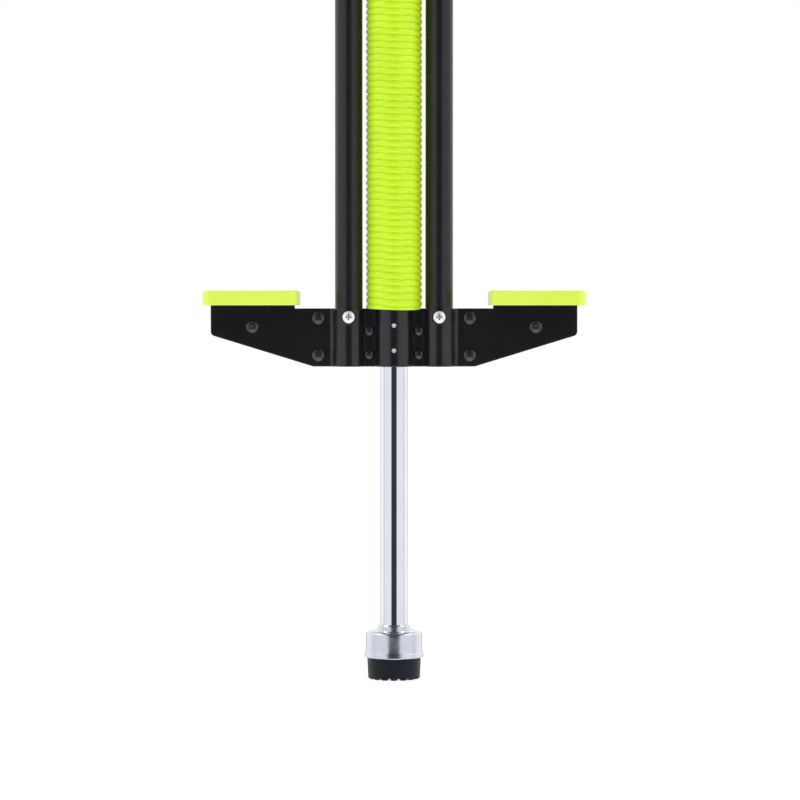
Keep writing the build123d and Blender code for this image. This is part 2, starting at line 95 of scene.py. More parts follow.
def grid_faces(rows, columns, close_rows=False):
    """Quads between rows of vertices, each row a ring. close_rows also joins the last row to the first."""
    faces = []
    for row in range(rows if close_rows else rows - 1):
        here, above = row * columns, (row + 1) % rows * columns
        for column in range(columns):
            beside = (column + 1) % columns
            faces.append((here + column, here + beside, above + beside, above + column))
    return faces


def circle(count):
    """The cosine and sine of `count` even steps round a circle."""
    turns = [2 * math.pi * step / count for step in range(count)]
    return [(math.cos(turn), math.sin(turn)) for turn in turns]


def arc(centre, radius, start, end, steps):
    """Points on an arc in an outline's plane, angles in degrees."""
    turns = [math.radians(start + (end - start) * step / steps) for step in range(steps + 1)]
    return [(centre[0] + radius * math.cos(turn), centre[1] + radius * math.sin(turn)) for turn in turns]


def soften(outline, radius, steps=4):
    """A closed outline of (x, y) points, each right-angled corner rounded off from `radius` before it."""
    result = []
    for number, point in enumerate(outline):
        here = Vector(point)
        before = (Vector(outline[number - 1]) - here).normalized()
        after = (Vector(outline[(number + 1) % len(outline)]) - here).normalized()
        straight_on = before.dot(after) < -0.99
        if straight_on:
            result.append(point)
            continue
        for step in range(steps + 1):
            share = step / steps
            result.append(tuple(here + before * radius * (1 - share) ** 2 + after * radius * share ** 2))
    return result


def turned(outline, axis="Z", origin=(0, 0, 0), facets=TUBE_FACETS):
    """A closed outline of (radius, height) turned about an axis through origin."""
    base = Vector(origin)
    verts = []
    for radius, height in outline:
        for cosine, sine in circle(facets):
            one, other = radius * cosine, radius * sine
            points = {"X": (height, one, other), "Y": (one, height, other), "Z": (one, other, height)}
            verts.append(base + Vector(points[axis]))
    return verts, grid_faces(len(outline), facets, close_rows=True)


def stack(loops):
    """Quads and caps over a stack of equal loops: a closed shape."""
    count = len(loops[0])
    verts = [point for loop in loops for point in loop]
    faces = grid_faces(len(loops), count)
    faces.append(tuple(range(count))[::-1])
    faces.append(tuple(range(len(verts) - count, len(verts))))
    return verts, faces


def merge(shapes):
    """Several (verts, faces) as one."""
    verts, faces = [], []
    for more_verts, more_faces in shapes:
        first = len(verts)
        verts += more_verts
        faces += [tuple(corner + first for corner in face) for face in more_faces]
    return verts, faces


def islands(node):
    """The box of every separate solid in a CAD node, as (low, high)."""
    shape = bmesh.new()
    shape.from_mesh(frame["nodes"][node].data)
    bmesh.ops.remove_doubles(shape, verts=shape.verts, dist=SAME_CAD_POINT)
    unseen = set(shape.verts)
    boxes = []
    while unseen:
        queue, found = [unseen.pop()], []
        while queue:
            here = queue.pop()
            found.append(here.co.copy())
            for edge in here.link_edges:
                there = edge.other_vert(here)
                if there in unseen:
                    unseen.remove(there)
                    queue.append(there)
        low = Vector([min(point[axis] for point in found) for axis in range(3)])
        high = Vector([max(point[axis] for point in found) for axis in range(3)])
        boxes.append((low, high))
    shape.free()
    return boxes


# ---------------------------------------------------------------- materials
NOISE_LOW, NOISE_HIGH = 0.3, 0.7  # most of a noise pattern lies between these
PAINT_TINT = (0.97, 0.94, 1.0, 1)  # of the reflections on black paint
BEVEL_SAMPLES = 6
RECESS_SAMPLES = 8
RECESS_REACH = 2 * MM  # surfaces with others this close in front of them count as recessed
POLISH_DEPTH = 0.0008 * MM
BRUSHED_DEPTH = 0.004 * MM
SHEEN_ROUGHNESS = 0.5


def new_material(name):
    """A material with its principled shader and the object-space texture coordinates."""
    material = bpy.data.materials.new(name)
    material.use_nodes = True
    tree = material.node_tree
    shader = tree.nodes["Principled BSDF"]
    place = tree.nodes.new("ShaderNodeTexCoord").outputs["Object"]
    return material, tree, shader, place


def noise(tree, place, scale, detail=3.0, stretch=None):
    """A noise pattern's value in object space; stretch scales the axes apart."""
    if stretch:
        mapping = tree.nodes.new("ShaderNodeMapping")
        mapping.inputs["Scale"].default_value = stretch
        tree.links.new(place, mapping.inputs["Vector"])
        place = mapping.outputs["Vector"]
    pattern = tree.nodes.new("ShaderNodeTexNoise")
    pattern.inputs["Scale"].default_value = scale
    pattern.inputs["Detail"].default_value = detail
    tree.links.new(place, pattern.inputs["Vector"])
    return pattern.outputs["Fac"]


def spread(tree, value, low, high, from_low=NOISE_LOW, from_high=NOISE_HIGH):
    """Maps a pattern's value to low..high."""
    ranged = tree.nodes.new("ShaderNodeMapRange")
    ranged.inputs["From Min"].default_value = from_low
    ranged.inputs["From Max"].default_value = from_high
    ranged.inputs["To Min"].default_value = low
    ranged.inputs["To Max"].default_value = high
    tree.links.new(value, ranged.inputs["Value"])
    return ranged.outputs["Result"]


def two_tone(tree, value, dark, light):
    """A colour between two, by a pattern's value."""
    ramp = tree.nodes.new("ShaderNodeValToRGB")
    ramp.color_ramp.elements[0].position = NOISE_LOW
    ramp.color_ramp.elements[1].position = NOISE_HIGH
    ramp.color_ramp.elements[0].color = (*dark, 1)
    ramp.color_ramp.elements[1].color = (*light, 1)
    tree.links.new(value, ramp.inputs["Fac"])
    return ramp.outputs["Color"]


def relief(tree, value, depth, previous=None):
    """A bump of the given depth in metres, on top of a previous one if there is one."""
    bump = tree.nodes.new("ShaderNodeBump")
    bump.inputs["Distance"].default_value = depth
    tree.links.new(value, bump.inputs["Height"])
    if previous:
        tree.links.new(previous, bump.inputs["Normal"])
    return bump.outputs["Normal"]


def gloss_paint(name, dark, light, rough, peel, gloss, round_edges=0.0):
    """Black powder coat: faint orange peel and patches of slightly different gloss.
    round_edges shades every edge and inner corner as if bent to that radius."""
    material, tree, shader, place = new_material(name)
    shader.inputs["Specular IOR Level"].default_value = gloss
    shader.inputs["Specular Tint"].default_value = PAINT_TINT
    base = None
    if round_edges:
        bend = tree.nodes.new("ShaderNodeBevel")
        bend.samples = BEVEL_SAMPLES
        bend.inputs["Radius"].default_value = round_edges
        base = bend.outputs["Normal"]
    colour = two_tone(tree, noise(tree, place, scale=60), dark, light)
    roughness = spread(tree, noise(tree, place, scale=35, detail=5), *rough)
    orange_peel = relief(tree, noise(tree, place, scale=700, detail=2), peel, base)
    tree.links.new(colour, shader.inputs["Base Color"])
    tree.links.new(roughness, shader.inputs["Roughness"])
    tree.links.new(orange_peel, shader.inputs["Normal"])
    return material


def polished_chrome(name, dark, light, rough, stretch):
    """Chrome plate with faint polishing lines and slight waviness in its gloss."""
    material, tree, shader, place = new_material(name)
    shader.inputs["Metallic"].default_value = 1.0
    colour = two_tone(tree, noise(tree, place, scale=25), dark, light)
    roughness = spread(tree, noise(tree, place, scale=90, detail=4), *rough)
    lines = relief(tree, noise(tree, place, scale=1.0, detail=2, stretch=stretch), POLISH_DEPTH)
    tree.links.new(colour, shader.inputs["Base Color"])
    tree.links.new(roughness, shader.inputs["Roughness"])
    tree.links.new(lines, shader.inputs["Normal"])
    return material


def plated_steel(name, dark, light, rough, metal=1.0, recess_shade=None):
    """Zinc-plated or plain steel with a fine brushed grain. The optional dark colour is painted shade:
    recesses are darkened towards it where occlusion finds other surfaces close.
    """
    material, tree, shader, place = new_material(name)
    shader.inputs["Metallic"].default_value = metal
    colour = two_tone(tree, noise(tree, place, scale=400), dark, light)
    if recess_shade:
        # Painted shade: ambient occlusion mixes the colour towards the dark one in recesses and creases.
        shade = tree.nodes.new("ShaderNodeAmbientOcclusion")
        shade.samples = RECESS_SAMPLES
        shade.inputs["Distance"].default_value = RECESS_REACH
        blend = tree.nodes.new("ShaderNodeMix")
        blend.data_type = "RGBA"
        blend.inputs["A"].default_value = (*recess_shade, 1)
        openness = spread(tree, shade.outputs["AO"], 0, 1, from_low=0.35, from_high=0.85)
        tree.links.new(openness, blend.inputs["Factor"])
        tree.links.new(colour, blend.inputs["B"])
        colour = blend.outputs["Result"]
    roughness = spread(tree, noise(tree, place, scale=500, detail=4), *rough)
    grain = relief(tree, noise(tree, place, scale=1500, detail=2), BRUSHED_DEPTH)
    tree.links.new(colour, shader.inputs["Base Color"])
    tree.links.new(roughness, shader.inputs["Roughness"])
    tree.links.new(grain, shader.inputs["Normal"])
    return material


def moulded(name, dark, light, rough, grain, depth, sheen=0.0, gloss=0.5):
    """A moulded plastic or rubber: mottled colour, a moulded grain in two sizes, and optional sheen."""
    material, tree, shader, place = new_material(name)
    shader.inputs["Sheen Weight"].default_value = sheen
    shader.inputs["Sheen Roughness"].default_value = SHEEN_ROUGHNESS
    shader.inputs["Specular IOR Level"].default_value = gloss
    colour = two_tone(tree, noise(tree, place, scale=45, detail=5), dark, light)
    roughness = spread(tree, noise(tree, place, scale=120, detail=4), *rough)
    coarse = relief(tree, noise(tree, place, grain, detail=3), depth)
    fine = relief(tree, noise(tree, place, grain * 4, detail=2), depth / 3, coarse)
    tree.links.new(colour, shader.inputs["Base Color"])
    tree.links.new(roughness, shader.inputs["Roughness"])
    tree.links.new(fine, shader.inputs["Normal"])
    return material


BLACK, SOOT = (0.0075, 0.0072, 0.0088), (0.0095, 0.0092, 0.0110)
RIVET_BLACK, RIVET_SOOT = (0.0135, 0.0132, 0.0150), (0.0165, 0.0162, 0.0182)
MATERIALS = {
    "frame_paint": gloss_paint("frame_paint", BLACK, SOOT, rough=(0.24, 0.32), peel=0.012 * MM, gloss=0.45),
    "bracket_paint": gloss_paint("bracket_paint", BLACK, SOOT, rough=(0.20, 0.27), peel=0.012 * MM,
                                 gloss=0.52, round_edges=1.6 * MM),
    "rivet_paint": gloss_paint("rivet_paint", RIVET_BLACK, RIVET_SOOT, rough=(0.19, 0.26), peel=0.005 * MM,
                               gloss=0.85),
    # zinc_steel gets painted shade in its recesses, darkened towards a dark grey.
    "zinc_steel": plated_steel("zinc_steel", (0.90, 0.90, 0.91), (0.98, 0.98, 0.98), rough=(0.36, 0.48),
                               metal=0.55, recess_shade=(0.12, 0.12, 0.13)),
    "pin_steel": plated_steel("pin_steel", (0.78, 0.78, 0.80), (0.90, 0.90, 0.92), rough=(0.30, 0.42)),
    "spring_steel": plated_steel("spring_steel", (0.25, 0.25, 0.27), (0.38, 0.37, 0.37), rough=(0.25, 0.42)),
    "chrome_plate": polished_chrome("chrome_plate", (0.72, 0.735, 0.81), (0.77, 0.785, 0.86),
                                    rough=(0.03, 0.07), stretch=(900, 900, 25)),
    "turned_chrome": polished_chrome("turned_chrome", (0.60, 0.63, 0.71), (0.70, 0.73, 0.80),
                                     rough=(0.20, 0.28), stretch=(60, 60, 1800)),
    "lime_cover": moulded("lime_cover", (0.60, 0.90, 0.012), (0.66, 0.97, 0.018), rough=(0.28, 0.38),
                          grain=800, depth=0.01 * MM),
    "lime_pad": moulded("lime_pad", (0.72, 0.97, 0.066), (0.78, 1.00, 0.096), rough=(0.42, 0.55),
                        grain=1400, depth=0.02 * MM, sheen=0.5),
    "lime_grip": moulded("lime_grip", (0.52, 0.88, 0.03), (0.58, 0.95, 0.05), rough=(0.55, 0.70),
                         grain=1100, depth=0.05 * MM, sheen=0.3),
    "black_rubber": moulded("black_rubber", (0.008, 0.009, 0.014), (0.013, 0.014, 0.020), rough=(0.36, 0.46),
                            grain=900, depth=0.03 * MM, gloss=0.16),
    "black_plastic": moulded("black_plastic", (0.012, 0.012, 0.013), (0.020, 0.020, 0.021),
                             rough=(0.35, 0.50), grain=900, depth=0.02 * MM),
    "bushing_nylon": moulded("bushing_nylon", (0.76, 0.75, 0.69), (0.84, 0.83, 0.78), rough=(0.35, 0.50),
                             grain=700, depth=0.02 * MM),
}


def paint(piece, slot):
    """Makes the slot's material the only one of a piece."""
    piece.data.materials.clear()
    piece.data.materials.append(MATERIALS[slot])
    for polygon in piece.data.polygons:
        polygon.material_index = 0


def paint_cad_nodes():
    """Every CAD node gets the material of its slot."""
    slots = {part["node"]: part["material_slot"] for part in frame["record"]["subparts"]}
    for name, node in frame["nodes"].items():
        paint(node, slots[name])


# ---------------------------------------------------------------- frame tubes
TUBE_LOW, TUBE_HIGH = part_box("left_frame_tube")
TUBE_R = (TUBE_HIGH.y - TUBE_LOW.y) / 2
TUBE_WALL = 1.5 * MM
BEND_R = 40 * MM
BEND_STEPS = 28
HOLD = 3 * MM  # a ring this far into a straight run keeps its shading straight


def frame_tube(side, node):
    """One steel tube: upright, then bent outwards into the handlebar. side is -1 left, 1 right."""
    low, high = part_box(node)
    inner_x = (low.x if side > 0 else -high.x) + TUBE_R
    outer_x = high.x if side > 0 else -low.x
    bar_z = high.z - TUBE_R
    bend_z = bar_z - BEND_R
    stations = [(inner_x, z, 0.0) for z in (low.z, bend_z - HOLD, bend_z)]
    for step in range(1, BEND_STEPS + 1):
        tilt = math.pi / 2 * step / BEND_STEPS
        x = inner_x + BEND_R * (1 - math.cos(tilt))
        stations.append((x, bend_z + BEND_R * math.sin(tilt), tilt))
    stations += [(inner_x + BEND_R + HOLD, bar_z, math.pi / 2), (outer_x, bar_z, math.pi / 2)]
    verts = []
    for radius, order in ((TUBE_R, stations), (TUBE_R - TUBE_WALL, stations[::-1])):
        for x, z, tilt in order:
            for cosine, sine in circle(TUBE_FACETS):
                out = radius * cosine
                verts.append((side * (x + out * math.cos(tilt)), radius * sine, z - out * math.sin(tilt)))
    faces = grid_faces(2 * len(stations), TUBE_FACETS, close_rows=True)
    return add_piece(node + "_skin", verts, faces, "frame", "frame_paint", (node,))


# ---------------------------------------------------------------- rivets and pins
PLATE_FACE = 1.5 * MM  # the outer face of each bracket plate, from y = 0
HEAD_SUNK = 0.4 * MM  # a head reaches this far into its plate
HEAD_EDGE_R = 1.2 * MM
HEAD_TILT = 18.0  # slope of the crown, in degrees, where it meets the rounded edge
EDGE_STEPS, CROWN_STEPS = 12, 10
HEAD_FACETS = 40
DIMPLE_SHARE = 0.34  # the dimple's radius as a share of the head's
DIMPLE_DEEP = 1.1 * MM
DIMPLE_BOWL = ((1.0, 0.1), (0.92, 0.5), (0.65, 0.85), (0.3, 1.0), (0.01, 1.0))  # shares of radius and depth

PIN_RIM = 0.35 * MM  # width of a pin's rounded rim
PIN_RIM_MIDDLE = (0.10 * MM, 0.12 * MM)  # in from the pin's side, and below its end
PIN_DIMPLE = ((0.22, 0.40 * MM), (0.50, 0.05 * MM), (0.62, 0.0))  # share of the radius, and depth
PIN_DIMPLE_DEEP = 0.45 * MM
PIN_FACETS = 32


def domed_head(radius, height):
    """Outline of a rivet head standing on y = 0: a shallow crown with a well rounded edge."""
    tilt = math.radians(HEAD_TILT)
    rim = radius - HEAD_EDGE_R
    crown_r = rim / math.sin(tilt) + HEAD_EDGE_R
    edge_y = height - crown_r * (1 - math.cos(tilt)) - HEAD_EDGE_R * math.cos(tilt)
    outline = [(HEAD_CENTRE, -HEAD_SUNK), (radius, -HEAD_SUNK)]
    outline += arc((rim, edge_y), HEAD_EDGE_R, 0, 90 - HEAD_TILT, EDGE_STEPS)
    for step in range(1, CROWN_STEPS + 1):
        turn = tilt * (1 - step / CROWN_STEPS)
        across = max(HEAD_CENTRE, crown_r * math.sin(turn))
        outline.append((across, height - crown_r * (1 - math.cos(turn))))
    return outline


def dimpled_head(radius, height):
    """Outline of the same head with a round dimple sunk in its middle."""
    hole = radius * DIMPLE_SHARE
    outline = [point for point in domed_head(radius, height) if point[0] > hole or point[1] < 0]
    brim = outline[-1][1]
    for share, sunk in DIMPLE_BOWL:
        outline.append((hole * share, brim - DIMPLE_DEEP * sunk))
    return outline


def rivets(node, head):
    """Both heads of every rivet in a CAD node."""
    shapes = []
    for low, high in islands(node):
        middle = (low + high) / 2
        radius = (high.x - low.x) / 2
        for way, crown in ((-1, -low.y), (1, high.y)):
            outline = [(across, way * (PLATE_FACE + up)) for across, up in head(radius, crown - PLATE_FACE)]
            shapes.append(turned(outline, "Y", (middle.x, 0, middle.z), HEAD_FACETS))
    verts, faces = merge(shapes)
    return add_piece(node + "_heads", verts, faces, "frame", "rivet_paint", (node,), sharp=50)


def bushing_pins():
    """The pins in the middle bulges: a small disc with a rounded rim and a dimple at each end."""
    shapes = []
    for low, high in islands("bushing_pins"):
        middle = (low + high) / 2
        radius = (high.x - low.x) / 2
        end = [(HEAD_CENTRE, PIN_DIMPLE_DEEP)]
        end += [(radius * share, sunk) for share, sunk in PIN_DIMPLE]
        end += [(radius - PIN_RIM, 0), (radius - PIN_RIM_MIDDLE[0], PIN_RIM_MIDDLE[1]), (radius, PIN_RIM)]
        outline = [(across, low.y + sunk) for across, sunk in end]
        outline += [(across, high.y - sunk) for across, sunk in reversed(end)]
        shapes.append(turned(outline, "Y", (middle.x, 0, middle.z), PIN_FACETS))
    verts, faces = merge(shapes)
    return add_piece("bushing_pins_ends", verts, faces, "frame", "zinc_steel", ("bushing_pins",), sharp=50)


# ---------------------------------------------------------------- ribbed spring cover
COVER_LOW, COVER_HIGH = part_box("spring_cover")
COVER_R = COVER_HIGH.x
COVER_WALL = 3.4 * MM
COVER_COLUMNS = 88
RIB_PITCH = 6.0 * MM
RIB_ROWS = 10  # rows of vertices in one pitch
RIB_START = 0.245  # height of the first groove on the +X side, as a share of the pitch
RIB_DEEP = 2.3 * MM
RIB_FLATNESS = 0.55  # the lower this is, the flatter the rib's crest and the narrower its groove
DROOP = 2.2 * MM
DROOP_REACH = 2.5 * RIB_PITCH  # the sag fades upwards over this height
DROOP_LEAN = 0.35  # how strongly the sag leans towards +X


def rib_depth(phase):
    """How far the surface lies below the crest, for a place across one rib from 0 to 1."""
    across = 2 * (phase % 1.0) - 1
    return RIB_DEEP * (1 - max(0.0, 1 - across * across) ** RIB_FLATNESS)


def spring_cover():
    """A moulded sleeve with one left-handed helical rib, its lower edge sagging a little in front."""
    height = COVER_HIGH.z - COVER_LOW.z
    bore_r = COVER_R - COVER_WALL
    rows = int(height / RIB_PITCH * RIB_ROWS) + 1
    around = circle(COVER_COLUMNS)
    verts = []
    for row in range(rows):
        up = height * row / (rows - 1)
        for column, (cosine, sine) in enumerate(around):
            radius = COVER_R - rib_depth(row / RIB_ROWS + column / COVER_COLUMNS - RIB_START)
            front = max(0.0, -sine) * (1 - DROOP_LEAN + DROOP_LEAN * cosine)
            sag = DROOP * front * math.exp(-up / DROOP_REACH)
            verts.append((radius * cosine, radius * sine, COVER_LOW.z + up - sag))
    top = len(verts) - COVER_COLUMNS
    for edge in (top, 0):
        for column, (cosine, sine) in enumerate(around):
            verts.append((bore_r * cosine, bore_r * sine, verts[edge + column][2]))
    faces = grid_faces(rows + 2, COVER_COLUMNS, close_rows=True)
    return add_piece("spring_cover_sleeve", verts, faces, "frame", "lime_cover", ("spring_cover",), sharp=60)


# ---------------------------------------------------------------- foot pads
PAD_CORNER = 9 * MM
PAD_CORNER_LEAST = 1.5 * MM
PAD_EDGE = 2.0 * MM  # rounding of the upper edge
PAD_EDGE_STEPS = 6
PAD_LIP = 1.0 * MM  # rounding of the lower edge
PAD_DRAFT = 0.35 * MM  # the sides lean in by this much
PAD_HOLD = 0.6 * MM  # a ring this far from each rounding keeps the side's shading straight
PAD_BOW = (0.05 * MM, 0.32 * MM)  # inset of those two rings
POCKET_RIM = (4.2 * MM, 7 * MM)  # from the pad's sides to the hollow underneath, along X and Y
POCKET_DEEP = 2.8 * MM
TREAD_RIM = 6 * MM
TREAD_DEEP = 1.3 * MM
TREAD_PITCH = 8 * MM
TRAY_WALL = ((-1.0 * MM, 0.0), (-0.4 * MM, 0.3 * MM), (0.0, TREAD_DEEP - 0.3 * MM),
             (0.5 * MM, TREAD_DEEP))  # inset past the rim, and depth below the top
BAR_WIDE = 4.6 * MM
BAR_CORNER = BAR_WIDE / 2.6
BAR_CORNER_STEPS = 4
BAR_GAP = 1.8 * MM  # between the three parts of a bar
BAR_MARGIN = (1.2 * MM, 1.15 * MM)  # least distance from the plain rim, along X and Y
BAR_SIDES = ((0.0, TREAD_DEEP + 0.4 * MM), (0.1 * MM, 0.6 * MM), (0.35 * MM, 0.2 * MM),
             (0.8 * MM, 0.0))  # inset, and depth below the top


def rounded_loop(half_x, half_y, corner, steps=10):
    """Points round a rectangle with rounded corners, centred on the origin."""
    corner = min(corner, half_x * 0.98, half_y * 0.98)
    points = []
    for way_x, way_y, start in ((1, 1, 0), (-1, 1, 90), (-1, -1, 180), (1, -1, 270)):
        centre = (way_x * (half_x - corner), way_y * (half_y - corner))
        points += arc(centre, corner, start, start + 90, steps)
    return points


def pad_side(low_z, high_z):
    """The outside of a pad from its lower edge over the rim to the tray's floor, as (inset, height)."""
    side = [(PAD_LIP, low_z)]
    for turn in QUARTER:
        side.append((PAD_LIP * (1 - math.sin(turn)), low_z + PAD_LIP * (1 - math.cos(turn))))
    side.append((PAD_BOW[0], low_z + PAD_LIP + PAD_HOLD))
    side.append((PAD_BOW[1], high_z - PAD_EDGE - PAD_HOLD))
    for step in range(PAD_EDGE_STEPS + 1):
        turn = math.pi / 2 * step / PAD_EDGE_STEPS
        inset = PAD_DRAFT + PAD_EDGE * (1 - math.cos(turn))
        side.append((inset, high_z - PAD_EDGE * (1 - math.sin(turn))))
    side += [(TREAD_RIM + inset, high_z - sunk) for inset, sunk in TRAY_WALL]
    return side


def tread_bars(half_x, half_y, top):
    """Rounded bars along Y, each in three parts. top is the middle of the pad's upper face."""
    shapes = []
    spaces = int((2 * half_x - 2 * TREAD_RIM) / TREAD_PITCH)
    length = (half_y - TREAD_RIM - BAR_MARGIN[1] - BAR_GAP) * 2 / 3
    for number in range(spaces + 1):
        x = (number - spaces / 2) * TREAD_PITCH
        if abs(x) > half_x - TREAD_RIM - BAR_WIDE / 2 - BAR_MARGIN[0]:
            continue
        for part in (-1, 0, 1):
            middle = top + Vector((x, part * (length + BAR_GAP), 0))
            loops = []
            for inset, sunk in BAR_SIDES:
                loop = rounded_loop(BAR_WIDE / 2 - inset, length / 2 - inset, BAR_CORNER, BAR_CORNER_STEPS)
                loops.append([middle + Vector((*point, -sunk)) for point in loop])
            shapes.append(stack(loops))
    return shapes


def foot_pad(node):
    """A moulded pad: a hollow underneath, rounded edges, a plain rim, and bars standing in a shallow tray."""
    low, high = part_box(node)
    middle_x = (low.x + high.x) / 2
    half_x, half_y = (high.x - low.x) / 2, high.y
    sections = [(*POCKET_RIM, low.z + POCKET_DEEP), (*POCKET_RIM, low.z)]
    sections += [(inset, inset, z) for inset, z in pad_side(low.z, high.z)]
    loops = []
    for inset_x, inset_y, z in sections:
        corner = max(PAD_CORNER_LEAST, PAD_CORNER - min(inset_x, inset_y))
        loop = rounded_loop(half_x - inset_x, half_y - inset_y, corner)
        loops.append([Vector((middle_x + x, y, z)) for x, y in loop])
    bars = tread_bars(half_x, half_y, Vector((middle_x, 0, high.z)))
    verts, faces = merge([stack(loops)] + bars)
    return add_piece(node + "_moulding", verts, faces, "frame", "lime_pad", (node,), sharp=50)


# ---------------------------------------------------------------- grips
GRIP_R = 16 * MM
FLANGE_EDGE = 1.6 * MM  # rounding of the flange's inner edge
FLANGE_BACK = ((0.0, 2.6 * MM), (0.8 * MM, 3.8 * MM))  # in from the flange's rim, and past its face
FLANGE_END = 4.6 * MM  # past the face: here the flange runs into the grip's barrel
RINGS = 13
RING_STEPS = 10
RING_DIP = 0.9 * MM
RINGS_FROM, RINGS_TO = 9 * MM, 10 * MM  # the rings start and stop this far from the grip's ends
GRIP_DOME = 4 * MM  # rounding of the closed end
DOME_TURN = math.degrees(1.5)  # it stops just short of a quarter turn
DOME_STEPS = 6
DENT_R, DENT_SLOPE = 5 * MM, 1 * MM
DENT_EDGE, DENT_DEEP = 0.1 * MM, 0.8 * MM  # depth of its outer edge and of its floor
GRIP_END_WALL = 4 * MM


def grip(side, node):
    """A rubber grip: an inner flange, shallow finger rings, and a closed end with a shallow round dent."""
    low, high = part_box(node)
    start = low.x if side > 0 else -high.x
    end = high.x if side > 0 else -low.x
    flange_r = (high.z - low.z) / 2
    edge_r = flange_r - FLANGE_EDGE
    outline = [(TUBE_R, start), (edge_r, start)]
    for turn in QUARTER:
        outline.append((edge_r + FLANGE_EDGE * math.sin(turn), start + FLANGE_EDGE * (1 - math.cos(turn))))
    outline += [(flange_r - inset, start + past) for inset, past in FLANGE_BACK]
    outline.append((GRIP_R, start + FLANGE_END))
    first, last = start + RINGS_FROM, end - RINGS_TO
    steps = RINGS * RING_STEPS
    for step in range(steps + 1):
        across = 2 * (step / RING_STEPS % 1.0) - 1
        dip = RING_DIP * (1 - max(0.0, 1 - across ** 4) ** 0.5)
        outline.append((GRIP_R - dip, first + (last - first) * step / steps))
    outline += arc((GRIP_R - GRIP_DOME, end - GRIP_DOME), GRIP_DOME, 0, DOME_TURN, DOME_STEPS)
    outline += [(DENT_R + DENT_SLOPE, end - DENT_EDGE), (DENT_R, end - DENT_DEEP)]
    outline += [(PIECE_CENTRE, end - DENT_DEEP), (PIECE_CENTRE, end - GRIP_END_WALL)]
    outline.append((TUBE_R, end - GRIP_END_WALL))
    outline = [(radius, side * x) for radius, x in outline]
    verts, faces = turned(outline, "X", (0, 0, (low.z + high.z) / 2))
    return add_piece(node + "_rubber", verts, faces, "frame", "lime_grip", (node,), sharp=40)


# ---------------------------------------------------------------- piston and foot
PISTON_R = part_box("piston_tube")[1].x
PISTON_EDGE = 0.4 * MM

CUP_WALL_R = 26 * MM
CUP_NECK = 6 * MM  # the neck's height above the roof
CUP_ROOF_THICK = 2 * MM
NECK_RIM = ((0.0, 0.2 * MM), (0.4 * MM, 0.1 * MM))  # out from the piston, and down from the neck's top
NECK_BEAD = 2.1 * MM
NECK_BEAD_SUNK = 0.3 * MM  # the bead's circle ends this far below the neck's top
NECK_FILLET = 1.6 * MM
NECK_FILLET_UP = 1.0 * MM  # the fillet's centre above the roof
DISH_INNER = (5.5 * MM, 0.65 * MM)  # out from the piston, and below the roof's highest line
DISH_OUTER = (1.4 * MM, 0.18 * MM)  # in from the shoulder's centre, and below the same line
SHOULDER = 4 * MM
CUP_HOLD = 0.7 * MM  # a ring this far into the wall keeps its shading straight
FLARE_R, FLARE_HIGH = 3.0 * MM, 6.0 * MM
FLARE_TURN = 42  # degrees
LIP_EDGE = ((0.4 * MM, 1.6 * MM), (0.08 * MM, 1.2 * MM), (0.0, 0.8 * MM), (0.08 * MM, 0.3 * MM),
            (0.4 * MM, 0.0))  # in from the lip's rim, and up from its lower face
CUP_FACETS = 128

LUGS = 16
LUG_COLUMNS = 12
LUG_DEEP = 1.7 * MM
NOTCH_STEEP = 8  # how steep the walls of the notches are
NOTCH_LEVEL = -0.45  # the notches are where the wave round the tread is below this
TIP_TAPER = 1.0 * MM  # how much smaller the tread's radius is than the plug's
# Outline points of the rubber tip: radius, height and share of the tread's notches.
SOLE = ((9.0 * MM, 0.0, 0), (9.6 * MM, 0.5 * MM, 0), (9.9 * MM, 2 * MM, 0), (16.8 * MM, 2 * MM, 0),
        (17.2 * MM, 0.5 * MM, 0.6), (17.9 * MM, 0.0, 1))
# The same for its side, with the radius measured from the tread's.
TREAD_SIDE = ((-1.0 * MM, 0.0, 1), (-0.35 * MM, 0.35 * MM, 1), (0.0, 1.2 * MM, 1), (0.1 * MM, 3.2 * MM, 0.25),
              (0.25 * MM, 5.4 * MM, 0), (0.7 * MM, 15 * MM, 0))
PLUG_EDGE = ((0.1 * MM, -0.3 * MM), (0.0, 0.5 * MM))  # in from the plug's side, and up from the cup's lip


def piston_skin():
    """The chromed piston tube, with a small rolled edge at each end."""
    low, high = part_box("piston_tube")
    bore_r = PISTON_R - TUBE_WALL
    heights = (low.z, low.z + HOLD, high.z - HOLD, high.z)
    outline = [(PISTON_R, z) for z in heights] + [(bore_r, z) for z in reversed(heights)]
    verts, faces = turned(soften(outline, PISTON_EDGE))
    return add_piece("piston_tube_skin", verts, faces, "piston", "chrome_plate", ("piston_tube",))


